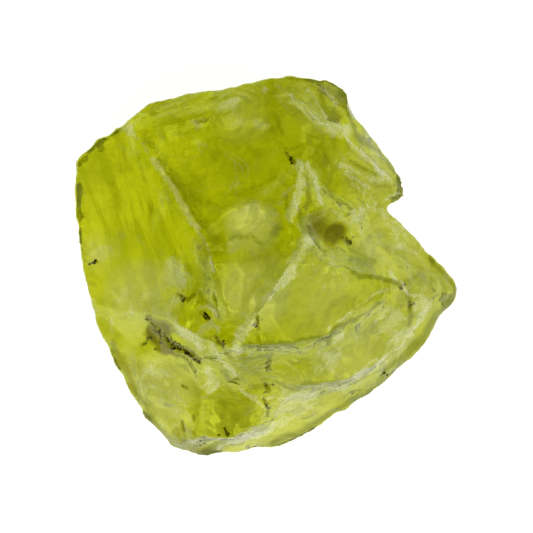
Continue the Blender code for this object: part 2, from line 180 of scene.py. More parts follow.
# Dark olive lines, where two faces meet in a hollow or the stone is deep: points, half width, strength
SHADE_LINES = [
    ([(-4.3, 4.6), (-3.4, 3.5), (-2.7, 2.5), (-2.1, 1.5), (-1.8, 0.6)], 0.40, 0.6),
    ([(-3.9, 3.95), (-3.3, 3.15), (-2.8, 2.25), (-2.2, 1.45)], 0.15, 0.9),
    ([(-2.8, 2.5), (-2.0, 2.3)], 0.35, 0.5),
    ([(-2.3, 0.8), (-2.1, -0.4), (-2.3, -1.2)], 0.35, 0.5),
    ([(-2.5, -1.3), (-2.1, -1.25), (-1.75, -1.6), (-1.65, -2.0)], 0.14, 0.8),
    ([(-4.5, -2.85), (-4.2, -2.6), (-4.0, -2.3)], 0.16, 0.7),
    ([(-4.0, -2.4), (-3.85, -3.1)], 0.18, 0.8),
    ([(-2.3, -2.65), (-1.95, -2.6), (-1.4, -3.0), (-1.2, -3.6)], 0.20, 0.6),
    ([(-3.4, -6.0), (-3.1, -6.4)], 0.22, 0.8),
    ([(-3.6, -6.3), (-2.9, -6.7), (-2.3, -6.8), (-1.8, -6.6), (-1.0, -6.3)], 0.34, 1.3),
    ([(-5.6, -2.9), (-5.2, -3.6), (-4.7, -4.6), (-4.2, -5.5), (-3.7, -6.2)], 0.24, 1.0),
    ([(-1.3, -5.3), (-1.1, -6.0)], 0.25, 0.4),
    ([(-0.9, -3.0), (-0.9, -3.9)], 0.30, 0.5),
    ([(-0.8, -3.3), (-0.1, -3.25), (0.2, -3.2)], 0.15, 0.9),
    ([(-0.5, -4.3), (0.1, -4.4)], 0.18, 0.7),
    ([(0.3, -4.2), (1.0, -4.35), (1.6, -4.2), (2.6, -4.2)], 0.14, 0.7),
    ([(-0.7, -2.75), (0.2, -2.75), (1.0, -2.75), (1.7, -2.55), (2.2, -2.6)], 0.20, 0.9),
    ([(2.2, -2.75), (2.6, -2.2), (2.95, -1.92), (3.2, -1.8)], 0.16, 1.0),
    ([(3.3, -1.7), (3.8, -1.5), (4.0, -1.35), (4.3, -1.35)], 0.13, 0.8),
    ([(3.1, -0.2), (3.7, -0.35), (4.1, -0.4), (4.6, -0.5), (4.8, -0.65)], 0.19, 1.1),
    ([(3.0, 0.25), (3.8, 0.2)], 0.22, 0.7),
    ([(5.1, -0.9), (5.15, -1.4), (5.1, -2.1)], 0.17, 0.9),
    ([(5.4, -2.6), (5.1, -3.0), (4.7, -3.4), (4.3, -3.8), (4.1, -4.1)], 0.15, 0.9),
    ([(6.3, -1.7), (5.8, -2.3), (5.4, -2.9), (4.9, -3.4), (4.7, -3.9), (4.0, -4.35), (3.3, -4.8)], 0.28, 0.9),
    ([(3.3, -4.8), (2.6, -5.15), (2.0, -5.6), (1.3, -6.0), (0.3, -6.35)], 0.24, 0.9),
    ([(5.9, 0.3), (6.5, -0.3), (6.85, -0.8), (6.8, -1.2), (6.3, -1.65)], 0.18, 0.9),
    ([(5.2, -0.5), (5.6, -0.2), (5.9, -0.5)], 0.25, 0.6),
    ([(0.6, 6.8), (1.2, 6.8), (2.0, 6.65), (2.6, 6.4), (2.85, 5.9), (2.95, 5.4), (3.2, 4.8)], 0.16, 0.8),
    ([(3.2, 4.7), (3.6, 4.4), (4.1, 4.15), (4.5, 3.75), (4.85, 3.2), (5.05, 2.6)], 0.16, 1.0),
    ([(2.0, 6.1), (2.2, 5.6), (2.5, 5.25)], 0.22, 1.0),
    ([(1.15, 5.85), (1.65, 5.35)], 0.10, 0.7),
    ([(3.0, 3.75), (3.4, 3.55), (3.9, 3.3)], 0.12, 1.0),
    ([(3.0, 3.15), (3.6, 2.82)], 0.09, 0.9),
    ([(3.6, 3.85), (4.1, 3.35)], 0.07, 0.8),
    ([(3.9, 2.8), (4.6, 2.9), (4.7, 3.2)], 0.14, 0.6),
    ([(2.4, 3.5), (2.15, 2.9), (2.4, 2.6)], 0.26, 0.6),
    ([(1.45, 3.1), (1.5, 2.4), (1.4, 2.1)], 0.18, 0.8),
    ([(0.7, 2.5), (0.75, 2.0)], 0.13, 0.7),
    ([(1.2, 1.9), (1.5, 1.3), (2.0, 1.1), (2.7, 1.05), (3.0, 0.9)], 0.17, 1.0),
    ([(1.5, 1.75), (2.1, 1.45), (2.7, 1.2)], 0.40, 0.9),
    ([(0.3, 5.5), (0.6, 4.7)], 0.16, 0.6),
    ([(-1.9, 5.9), (-1.6, 5.4)], 0.20, 0.4),
    ([(-6.5, 4.2), (-5.9, 4.5), (-5.3, 4.85)], 0.20, 0.5),
    ([(1.7, 0.9), (1.65, 0.5)], 0.20, 0.5),
    ([(-1.2, 1.1), (-0.6, 1.05), (-0.2, 0.9)], 0.14, 0.6),
    ([(-0.7, 0.25), (0.0, 0.5)], 0.20, 0.5),
]
# Open cracks, darkest in the middle: points, half width of the dark part, depth
DARK_CRACKS = [
    ([(-4.2, -1.85), (-3.95, -2.1), (-3.85, -2.45)], 0.22, 0.05),
    ([(-3.6, -2.5), (-3.35, -2.75), (-3.0, -3.0), (-2.7, -3.2), (-2.45, -3.45)], 0.17, 0.07),
    ([(-3.95, -2.6), (-3.8, -3.0)], 0.14, 0.06),
    ([(-3.15, -1.05), (-2.9, -1.15), (-2.65, -1.0)], 0.15, 0.06),
    ([(-2.25, -1.7), (-2.05, -1.95)], 0.14, 0.06),
    ([(-1.85, -2.6), (-1.6, -2.8)], 0.15, 0.08),
    ([(0.1, -3.35), (0.12, -3.75)], 0.15, 0.06),
    ([(0.0, -4.25), (0.12, -4.5)], 0.15, 0.06),
    ([(-0.05, -4.8), (0.02, -5.0)], 0.12, 0.05),
    ([(0.05, -5.2), (0.12, -5.4)], 0.10, 0.04),
    ([(-0.35, -1.85), (-0.32, -2.2)], 0.13, 0.05),
    ([(5.1, -1.25), (5.16, -1.5)], 0.15, 0.06),
    ([(4.2, -3.9), (4.3, -3.7)], 0.12, 0.04),
    ([(0.75, 4.0), (0.93, 3.6)], 0.14, 0.06),
    ([(-3.05, -5.6), (-2.95, -5.9)], 0.15, 0.06),
    ([(-2.6, -5.45), (-2.6, -5.55)], 0.12, 0.05),
    ([(-2.45, -6.3), (-2.3, -6.2)], 0.15, 0.05),
    ([(-3.15, -6.35), (-3.05, -6.4)], 0.12, 0.05),
    ([(2.9, 0.95), (3.05, 0.8)], 0.15, 0.06),
    ([(-6.2, 0.15), (-6.15, 0.1)], 0.12, 0.04),
    ([(-3.1, -4.35), (-2.95, -4.4)], 0.12, 0.04),
    ([(2.1, 5.35), (2.5, 5.2)], 0.12, 0.05),
]
# The share of a crack's dark width that gapes open
OPEN_SHARE = 0.6
# Outer corners and the left rim, where the upper flanks are frosted and ground rougher, and where their tone
# is painted lighter as painted light
ROUGH_CORNERS = [
    ((5.0, 2.6), 1.0, 1.0), ((6.8, -1.2), 1.2, 1.0), ((2.9, 6.4), 1.1, 1.0), ((-6.5, 4.1), 1.2, 1.0),
    ((-6.9, 2.2), 1.6, 1.0),
]
# Where blows fell: strike point, reach, ripple spacing, ripple height
STRIKES = [
    ((-5.0, 4.8, 6.6), 4.5, 0.55, 0.010),
    ((1.2, 3.5, 7.6), 3.6, 0.50, 0.010),
    ((-1.1, -2.9, 7.4), 2.2, 0.28, 0.026),
    ((5.0, -0.6, 5.8), 4.0, 0.60, 0.012),
    ((0.1, -4.2, 5.4), 3.2, 0.42, 0.012),
    ((-1.2, 5.6, 6.7), 2.2, 0.34, 0.010),
    ((-2.7, -6.3, 3.8), 2.4, 0.30, 0.014),
    ((4.2, 2.1, 4.7), 2.4, 0.30, 0.014),
    ((-6.8, 1.0, 5.5), 2.0, 0.32, 0.012),
]
# Striated breaks: middle, radius, direction of the lines, height
STRIATED_FACES = [
    ((3.9, 3.3, 5.6), 1.6, (0.65, -0.70, -0.45), 0.028),
    ((1.7, 5.7, 6.7), 1.4, (0.65, -0.75, 0.0), 0.026),
    ((4.4, 0.8, 5.6), 1.7, (0.7, -0.7, -0.5), 0.018),
    ((-5.0, 1.8, 6.4), 3.0, (0.25, -0.95, 0.1), 0.016),
    ((-0.1, -1.2, 8.3), 1.3, (-0.5, -0.85, -0.2), 0.024),
    ((4.3, -2.6, 5.2), 1.8, (0.6, 0.75, 0.1), 0.018),
    ((1.2, -5.0, 4.3), 1.8, (0.85, 0.4, 0.3), 0.020),
    ((-0.8, 1.4, 8.0), 1.2, (0.6, 0.6, 0.0), 0.024),
    ((-3.8, -4.4, 4.5), 1.4, (0.5, -0.8, -0.2), 0.024),
]
# Faces with painted streaks of light and shade, and faces crossed by pale scratches with painted shadow
# lines, as seen from above
SHADE_STREAKED_FACES = [((-5.0, 2.4), 3.2, 1.0), ((-3.6, 0.0), 2.0, 0.8), ((1.8, 3.4), 1.6, 0.6)]
SCRATCHED_FACES = [
    ((3.9, 3.4), 1.6, 0.8), ((1.6, 5.9), 1.4, 0.7), ((4.4, 0.8), 1.9, 0.6), ((5.6, -0.4), 1.3, 0.5),
    ((-3.8, -4.4), 1.6, 0.5), ((3.6, -2.8), 1.8, 0.4),
]
# How far apart the striations lie and how long they run
LINE_SPACING = 0.2
LINE_LENGTH = 2.5
# Chips along the ridges: how many, how far they reach, how deep for their reach, and the cosine of
# the turn between normals past which a point lies on a ridge
CHIPS = 700
CHIP_REACH = (0.12, 0.42)
CHIP_DEPTH_SHARE = (0.08, 0.22)
RIDGE_TURN = 0.93
POINTS_NEARBY = 9
# Waves, folds, steps and grain of the breaks: how far apart and how high
WAVE_SPACING = 1.1
WAVE_HEIGHT = 0.040
FOLD_SPACING = 0.8
FOLD_HEIGHT = 0.045
STEP_SPACING = 0.9
STEPS_IN_A_RISE = 6.0
STEP_HEIGHT = 0.014
GRAIN_SPACING = 0.2
GRAIN_HEIGHT = 0.006
# How much of that a calm face loses, and how much a frosted one gains
CALM_LOSS = 0.7
FROST_GAIN = 0.9
# Ripples start weak at the strike point and wobble
RIPPLE_START = 0.3
WOBBLE_SPACING = 0.8
WOBBLE = 0.25
# How the drawn places wander: over what distance and how far
SLOW_WANDER = (1.1, 0.16)
QUICK_WANDER = (0.3, 0.07)
# The relief that the material takes as fully raised or fully sunk
PLAIN_RELIEF = 0.035

# Fixed seeds, so that chips, grains and wandering come out the same each run
SEED = 5
draw = random.Random(SEED)
noise.seed_set(SEED)


def nearness(places, spots):
    """How much each place belongs to the nearest of the spots, from 0 to its strength."""
    most = np.zeros(len(places))
    for middle, radius, strength in spots:
        reach = np.linalg.norm(places - middle, axis=1) / radius
        most = np.maximum(most, strength * (1.0 - reach ** 2))
    return most


def distance_to_line(places, line):
    """Distance from each place to a line of points, as seen from above."""
    nearest = np.full(len(places), 100.0)
    for start, end in zip(np.array(line), np.array(line[1:])):
        run = end - start
        offset = places - start
        share = np.clip(offset @ run / (run @ run), 0.0, 1.0)
        nearest = np.minimum(nearest, np.linalg.norm(offset - np.outer(share, run), axis=1))
    return nearest


def drawn(places, lines):
    """How much each place belongs to the nearest of the lines, from 0 to its strength."""
    most = np.zeros(len(places))
    for line, half_width, strength in lines:
        most = np.maximum(most, strength * (1.0 - distance_to_line(places, line) / half_width))
    return most


def wandering(points):
    """The points as seen from above, each shifted a little, so that nothing has a straight edge."""
    slow, far = SLOW_WANDER
    quick, near = QUICK_WANDER
    shifted = []
    for point in points:
        drift = noise.noise_vector(point / slow) * far
        shiver = noise.noise_vector(point / quick + Vector((7, 7, 7))) * near
        shifted.append((point.x + drift.x + shiver.x, point.y + drift.y + shiver.y))
    return np.array(shifted)


def steps(point):
    """Tiny flat-topped steps, where the break jumped from layer to layer."""
    level = STEPS_IN_A_RISE * noise.noise(point / STEP_SPACING + Vector((3, 1, 9)))
    rise = level - math.floor(level)
    return STEP_HEIGHT * min(rise, 3.0 * (1.0 - rise))


def striations(point):
    """Fine lines along the faces that broke in strips."""
    height = 0.0
    for middle, radius, direction, line_height in STRIATED_FACES:
        offset = point - Vector(middle)
        if offset.length < radius:
            along = Vector(direction).normalized()
            run = offset.dot(along)
            place = (offset - along * run) / LINE_SPACING + along * (run / LINE_LENGTH)
            height += line_height * (1.0 - (offset.length / radius) ** 2) * noise.noise(place)
    return height


def swell_and_relief(points, places, upward):
    """The wide swell at each point and its fine relief, calmer on smooth faces, rougher in frost."""
    calm = nearness(places, CALM_FACES) * upward
    frost = nearness(places, FROSTED_PATCHES)
    swell = []
    relief = []
    for index, point in enumerate(points):
        rough = (1.0 - CALM_LOSS * calm[index]) * (1.0 + FROST_GAIN * frost[index])
        wide = WAVE_HEIGHT * noise.noise(point / WAVE_SPACING)
        folded = FOLD_HEIGHT * abs(noise.noise(point / FOLD_SPACING + Vector((11, 5, 8))))
        fine = GRAIN_HEIGHT * noise.noise(point / GRAIN_SPACING + Vector((2, 9, 4)))
        swell.append(0.5 * wide + rough * (0.5 * wide - folded))
        relief.append(rough * (steps(point) + fine) + striations(point))
    return swell, relief


def add_ripples(relief, everything):
    """Adds the rings that ran out from each strike point, faint at the point and at their reach."""
    for strike, reach, spacing, rise in STRIKES:
        for place, index, distance in everything.find_range(strike, reach):
            fade = (1.0 - distance / reach) * min(1.0, distance / RIPPLE_START)
            wobbly = distance + WOBBLE * noise.noise(place / WOBBLE_SPACING)
            relief[index] += rise * fade * math.sin(2.0 * math.pi * wobbly / spacing)


def is_ridge(index, normals, nearby):
    """Whether the faces round a point turn sharply."""
    return min(normals[other].dot(normals[index]) for _, other, _ in nearby) < RIDGE_TURN


def chips_on_ridges(points, normals, everything):
    """How deep each point lies in a chip, because a ridge flakes first."""
    ridges = []
    for index, point in enumerate(points):
        if is_ridge(index, normals, everything.find_n(point, POINTS_NEARBY)):
            ridges.append(index)
    depths = [0.0] * len(points)
    for _ in range(CHIPS):
        middle = points[draw.choice(ridges)]
        reach = draw.uniform(*CHIP_REACH)
        depth = reach * draw.uniform(*CHIP_DEPTH_SHARE)
        for _, index, distance in everything.find_range(middle, reach):
            depths[index] = max(depths[index], depth * (1.0 - (distance / reach) ** 2))
    return depths


def break_surface(mesh, places, upward):
    """Moves each point along its normal for every trace of the breaking, and returns the fine relief."""
    points = [vertex.co.copy() for vertex in mesh.vertices]
    normals = [vertex.normal.copy() for vertex in mesh.vertices]
    everything = KDTree(len(points))
    for index, point in enumerate(points):
        everything.insert(point, index)
    everything.balance()
    swell, relief = swell_and_relief(points, places, upward)
    add_ripples(relief, everything)
    chip_depth = chips_on_ridges(points, normals, everything)
    open_cracks = [(line, half_width * OPEN_SHARE, depth) for line, half_width, depth in DARK_CRACKS]
    crack_depth = drawn(places, open_cracks) * upward
    for index, vertex in enumerate(mesh.vertices):
        relief[index] -= crack_depth[index]
        if vertex.co.z > GROUND:
            vertex.co += normals[index] * (swell[index] + relief[index] - chip_depth[index])
            vertex.co.z = max(vertex.co.z, 0.0)
        else:
            vertex.co.z += BASE_DENT * max(0.0, noise.noise(vertex.co / BASE_DENT_SPACING) + 0.1)
    return relief


def paint(mesh, name, values):
    """Keeps a value for each point, as an attribute that the material reads."""
    mesh.attributes.new(name, "FLOAT", "POINT").data.foreach_set("value", np.clip(values, 0.0, 1.0))


seen_from_above = wandering([vertex.co for vertex in stone_mesh.vertices])
faces_up = np.array([vertex.normal.z > 0.0 for vertex in stone_mesh.vertices]).astype(float)
fine_relief = break_surface(stone_mesh, seen_from_above, faces_up)
# The slope is 1 where the surface lies flat, 0 where it stands upright and less where it hangs over.
# The brink, the upright band above the first millimetre, gets painted shade for a dark outline, and the rim
# is the upper flank
BRINK_SLOPE = 0.22
slope = np.array([vertex.normal.z for vertex in stone_mesh.vertices])
height = np.array([vertex.co.z for vertex in stone_mesh.vertices])
paint(stone_mesh, "relief", 0.5 + 0.5 * np.array(fine_relief) / PLAIN_RELIEF)
paint(stone_mesh, "under", 0.4 - 2.0 * slope)
paint(stone_mesh, "brink", (1.0 - np.abs(slope) / BRINK_SLOPE) * np.clip(height - 1.0, 0.0, 1.0))
rim = np.clip(2.0 - 3.0 * slope, 0.0, 1.0) * np.clip(0.5 * height - 1.2, 0.0, 1.0)
paint(stone_mesh, "corner", nearness(seen_from_above, ROUGH_CORNERS) * rim)
paint(stone_mesh, "mottle", 1.0 - 0.8 * nearness(seen_from_above, CLEAR_ZONES))
# Of these, deep and streak carry painted shade, scratch carries pale scratches and painted shadow lines, and
# frost and stain are the stone's own marks
for name, spots in (
    ("frost", FROSTED_PATCHES), ("stain", STAINS), ("deep", DEEP_SHADE_ZONES), ("streak", SHADE_STREAKED_FACES),
    ("scratch", SCRATCHED_FACES),
):
    paint(stone_mesh, name, nearness(seen_from_above, spots) * faces_up)
paint(stone_mesh, "haze", nearness(seen_from_above, HAZY_FACES) * np.clip(1.8 * slope - 0.7, 0.0, 1.0))
crack_lines = [(line, half_width, 1.0) for line, half_width, _ in DARK_CRACKS]
for name, lines in (("pale", PALE_LINES), ("shade", SHADE_LINES), ("crack", crack_lines)):
    paint(stone_mesh, name, drawn(seen_from_above, lines) * faces_up)
stone_mesh.transform(Matrix.Scale(MM, 4))
stone_mesh.shade_smooth()
crystal = bpy.data.objects.new("rough_peridot", stone_mesh)
bpy.context.scene.collection.objects.link(crystal)

# How the stone bends light, and how it takes light in: its colour, and how fast by the metre
PERIDOT_IOR = 1.67
BODY_COLOUR = (0.897, 0.911, 0.10, 1.0)
BODY_DENSITY = 800.0
SURFACE_TINT = (0.9, 1.0, 0.15, 1.0)
# The crushed stone of the frost sends back white light, as a rough coat of this strength does
FROST_IOR = 4.0
FROST_ROUGHNESS = 0.6
GLASSY_ROUGHNESS = 0.05
# Tones of the stone's surface, which tint the light that passes it; several are painted shade or painted
# light, as marked
CLEAR_TONE = (1.0, 1.0, 0.9)
EVEN_TONE = (0.80, 0.81, 0.50)
CLOUDED_TONE = (0.45, 0.48, 0.20)
# Painted shade in flecks, mostly in the deep zones
FLECK_SHADE_TONE = (0.26, 0.29, 0.05)
SCRATCH_SHADOW_TONE = (0.22, 0.25, 0.04)
# Painted shade in the deep zones
DEEP_SHADE_TONE = (0.20, 0.22, 0.04)
# Painted shade: the dark outline on the brink
OUTLINE_SHADE_TONE = (0.10, 0.12, 0.02)
# Painted light: a lighter tone on the corners' upper flanks
CORNER_LIGHT_TONE = (1.0, 1.0, 0.7)
# Painted shade in the sunk parts of the relief
HOLLOW_SHADE_TONE = (0.26, 0.28, 0.06)
# Painted shade: the dark streaks on the streaked faces
STREAK_SHADE_TONE = (0.40, 0.44, 0.05)
SHADE_TONE = (0.20, 0.22, 0.02)
STAIN_TONE = (0.40, 0.33, 0.015)
RUST_TONE = (0.07, 0.05, 0.002)
CRACK_SIDE_TONE = (0.14, 0.12, 0.01)
OPEN_CRACK_TONE = (0.03, 0.022, 0.004)


def clear_peridot():
    """Clear olive stone: the light it takes in makes its colour, and frost, stain and painted shade break it
    up.
    """
    material = bpy.data.materials.new("clear_peridot")
    material.use_nodes = True
    nodes = material.node_tree.nodes
    links = material.node_tree.links
    shader = nodes["Principled BSDF"]
    shader.inputs["Metallic"].default_value = 0.0
    shader.inputs["IOR"].default_value = PERIDOT_IOR
    shader.inputs["Transmission Weight"].default_value = 1.0
    shader.inputs["Specular Tint"].default_value = SURFACE_TINT
    shader.inputs["Coat IOR"].default_value = FROST_IOR
    shader.inputs["Coat Roughness"].default_value = FROST_ROUGHNESS
    place = nodes.new("ShaderNodeTexCoord")

    def cut(value, low, high):
        """A value stretched so that low becomes 0 and high becomes 1."""
        stretch = nodes.new("ShaderNodeMapRange")
        stretch.interpolation_type = "SMOOTHSTEP"
        stretch.inputs["From Min"].default_value = low
        stretch.inputs["From Max"].default_value = high
        links.new(value, stretch.inputs["Value"])
        return stretch.outputs["Result"]

    def cloud(scale, detail, distortion):
        """Cloudy noise, with its scale to the metre."""
        speck = nodes.new("ShaderNodeTexNoise")
        speck.inputs["Scale"].default_value = scale
        speck.inputs["Detail"].default_value = detail
        speck.inputs["Distortion"].default_value = distortion
        links.new(place.outputs["Object"], speck.inputs["Vector"])
        return speck.outputs["Fac"]

    def streaks(turn, width, length):
        """Long streaks of a width and length in metres, turned about the stone's height."""
        turned = nodes.new("ShaderNodeMapping")
        turned.vector_type = "TEXTURE"
        turned.inputs["Rotation"].default_value = (0.0, 0.0, math.radians(turn))
        turned.inputs["Scale"].default_value = (width, length, 0.002)
        links.new(place.outputs["Object"], turned.inputs["Vector"])
        streak = nodes.new("ShaderNodeTexNoise")
        streak.inputs["Scale"].default_value = 1.0
        streak.inputs["Detail"].default_value = 2.0
        streak.inputs["Distortion"].default_value = 0.4
        links.new(turned.outputs["Vector"], streak.inputs["Vector"])
        return streak.outputs["Fac"]

    def maths(operation, first, second):
        """A calculation with two values, each a plain number or another node's output."""
        step = nodes.new("ShaderNodeMath")
        step.operation = operation
        for socket, value in zip(step.inputs, (first, second)):
            if isinstance(value, float):
                socket.default_value = value
            else:
                links.new(value, socket)
        return step.outputs["Value"]

    def plus(first, second):
        return maths("ADD", first, second)

    def minus(first, second):
        return maths("SUBTRACT", first, second)

    def times(first, second):
        return maths("MULTIPLY", first, second)

    def larger(first, second):
        return maths("MAXIMUM", first, second)

    def painted(name):
        """A value that was painted on the stone's points."""
        attribute = nodes.new("ShaderNodeAttribute")
        attribute.attribute_name = name
        return attribute.outputs["Fac"]

    def broken_up(name, pattern, between, edge):
        """A painted value torn by a pattern and cut between two levels, kept inside its drawn edge."""
        return times(cut(plus(painted(name), pattern), *between), cut(painted(name), *edge))

    def mixed(factor, plain, other):
        """One colour laid over another by a factor."""
        blend = nodes.new("ShaderNodeMix")
        blend.data_type = "RGBA"
        links.new(factor, blend.inputs["Factor"])
        for socket, colour in ((blend.inputs["A"], plain), (blend.inputs["B"], other)):
            if isinstance(colour, tuple):
                socket.default_value = (*colour, 1.0)
            else:
                links.new(colour, socket)
        return blend.outputs["Result"]

    raised = cut(painted("relief"), 0.55, 0.85)
    sunk = cut(painted("relief"), 0.45, 0.15)
    under = painted("under")

    # Patterns about zero, from fine to wide, that tear every drawn place
    crumbs = minus(cloud(6500.0, 3.0, 0.6), 0.5)
    speckle = minus(cloud(2600.0, 4.0, 0.6), 0.5)
    patches = minus(cloud(900.0, 4.0, 1.5), 0.5)
    hatch = minus(streaks(-45.0, 0.00030, 0.002), 0.5)
    torn = plus(plus(times(patches, 1.6), hatch), times(crumbs, 0.9))
    ragged = plus(times(crumbs, 1.6), times(patches, 1.2))

    # Cracks, stain and the shade of hollows, which keep the frost off
    beside_crack = broken_up("crack", times(speckle, 0.9), (0.05, 0.8), (0.0, 0.2))
    open_crack = broken_up("crack", times(speckle, 0.9), (0.75, 1.15), (0.4, 0.8))
    stained = broken_up("stain", torn, (0.10, 0.85), (0.02, 0.3))
    rusted = times(stained, cut(painted("stain"), 0.35, 0.85))
    shade = broken_up("shade", times(ragged, 0.5), (0.02, 0.85), (0.0, 0.2))
    lit = minus(1.0, times(shade, 0.85))
    clean = minus(1.0, larger(beside_crack, times(stained, 0.9)))

    # Frost: patches, veils, scratches, veins and haze, then the crushed ridges and the corners
    frosted = broken_up("frost", torn, (0.25, 0.85), (0.02, 0.25))
    veils = times(cut(cloud(420.0, 4.0, 2.0), 0.53, 0.66), times(raised, 0.25))
    scratched = times(cut(streaks(43.0, 0.00028, 0.003), 0.55, 0.62), painted("scratch"))
    veined = maths("ABSOLUTE", minus(cloud(560.0, 2.0, 1.6), 0.5), 0.0)
    veined = times(cut(veined, 0.016, 0.004), cut(cloud(300.0, 2.0, 0.0), 0.48, 0.60))
    haze = plus(times(patches, 1.8), plus(times(crumbs, 1.2), 1.25))
    haze = times(painted("haze"), times(haze, 0.72))
    pale = times(frosted, 0.66)
    for other in (veils, times(scratched, 0.55), times(veined, 0.35), haze):
        pale = larger(pale, other)
    fibres = plus(times(cut(cloud(2600.0, 3.0, 3.0), 0.38, 0.62), 0.45), 0.55)
    crushed = times(broken_up("pale", ragged, (0.10, 0.80), (0.0, 0.25)), fibres)
    pale = larger(times(pale, lit), crushed)
    pale = larger(pale, times(painted("corner"), 0.45))
    pale = times(pale, clean)
    links.new(pale, shader.inputs["Coat Weight"])

    # Roughness: glassy where it is clean, ground on the flanks and underneath
    ground = plus(times(cut(cloud(500.0, 2.0, 1.0), 0.35, 0.65), 0.38), 0.16)
    roughness = plus(times(pale, 0.30), GLASSY_ROUGHNESS)
    rougher = (times(under, ground), times(painted("corner"), 0.6), times(stained, 0.25), times(shade, 0.3))
    for other in rougher:
        roughness = larger(roughness, other)
    links.new(roughness, shader.inputs["Roughness"])

    # Tones, each laid over the ones before it: random clouds, painted shade and painted light, and the
    # stone's own stain, rust and cracks
    clouded = times(cut(cloud(420.0, 4.0, 2.5), 0.42, 0.66), plus(times(under, 0.5), 0.2))
    # Flecks of painted shade in the deep zones, and random darker flecks where the stone is mottled
    shaded_flecks = plus(times(painted("deep"), 0.6), times(painted("mottle"), 0.2))
    shaded_flecks = times(cut(cloud(1100.0, 3.0, 1.5), 0.45, 0.62), shaded_flecks)
    scratch_shadows = times(cut(streaks(43.0, 0.0005, 0.004), 0.56, 0.42), painted("scratch"))
    # Painted shade: the sunk parts of the relief are darker
    hollow_shade = times(sunk, plus(times(painted("mottle"), 0.35), 0.1))
    # Painted shade in dark streaks across the streaked faces
    shade_streaks = times(cut(streaks(16.0, 0.00045, 0.003), 0.56, 0.40), painted("streak"))
    body = mixed(painted("mottle"), CLEAR_TONE, EVEN_TONE)
    for where, tone in (
        (times(clouded, painted("mottle")), CLOUDED_TONE),
        (shaded_flecks, FLECK_SHADE_TONE),
        (times(scratch_shadows, 0.6), SCRATCH_SHADOW_TONE),
        # Painted shade: a deeper green in the deep zones
        (times(painted("deep"), 0.85), DEEP_SHADE_TONE),
        # Painted shade: a dark outline along the brink
        (times(painted("brink"), 0.2), OUTLINE_SHADE_TONE),
        # Painted light: the corners' flanks tinted lighter
        (painted("corner"), CORNER_LIGHT_TONE),
        (hollow_shade, HOLLOW_SHADE_TONE),
        (times(shade_streaks, 0.85), STREAK_SHADE_TONE),
        (shade, SHADE_TONE),
        (times(stained, 0.7), STAIN_TONE),
        (rusted, RUST_TONE),
        (beside_crack, CRACK_SIDE_TONE),
        (open_crack, OPEN_CRACK_TONE),
    ):
        body = mixed(where, body, tone)
    links.new(body, shader.inputs["Base Color"])

    # Grain of the frost, two hundredths of a millimetre high
    bump = nodes.new("ShaderNodeBump")
    bump.inputs["Distance"].default_value = 0.00002
    bump.inputs["Strength"].default_value = 0.6
    links.new(times(crumbs, plus(pale, 0.15)), bump.inputs["Height"])
    links.new(bump.outputs["Normal"], shader.inputs["Normal"])

    absorb = nodes.new("ShaderNodeVolumeAbsorption")
    absorb.inputs["Color"].default_value = BODY_COLOUR
    absorb.inputs["Density"].default_value = BODY_DENSITY
    links.new(absorb.outputs["Volume"], nodes["Material Output"].inputs["Volume"])
    return material


stone_mesh.materials.clear()
stone_mesh.materials.append(clear_peridot())
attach(crystal, "root")
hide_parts("peridot_crystal")

# Black grains shut in the stone: bits of chromite, which grew before the stone did and are seen
# through it, just below the surface, mostly a few together.
GRAIN_RADIUS = 0.065
GRAINS_TOGETHER = 4
GRAIN_SPREAD = 0.085
GRAIN_DEPTH = (0.06, 0.35)
GRAINS = [
    (-1.6, -2.8), (-2.1, -1.8), (-3.0, -1.1), (-3.95, -2.3), (-3.3, -2.85), (0.1, -3.6), (0.08, -4.35),
    (0.0, -4.95), (0.9, 3.75), (3.06, 0.9), (4.86, -0.7), (5.15, -1.3), (-2.2, -6.25),
    (-6.2, 0.1), (-2.5, -6.4), (-0.33, -2.0), (4.25, -3.8),
]
# How a grain may differ from a ball, and the lumps on it to the metre
SLIMMEST_GRAIN = (0.5, 0.4, 0.3)
FATTEST_GRAIN = (1.8, 1.1, 0.9)
LUMP_SCALE = 9000.0
GRAIN_SEED = 4


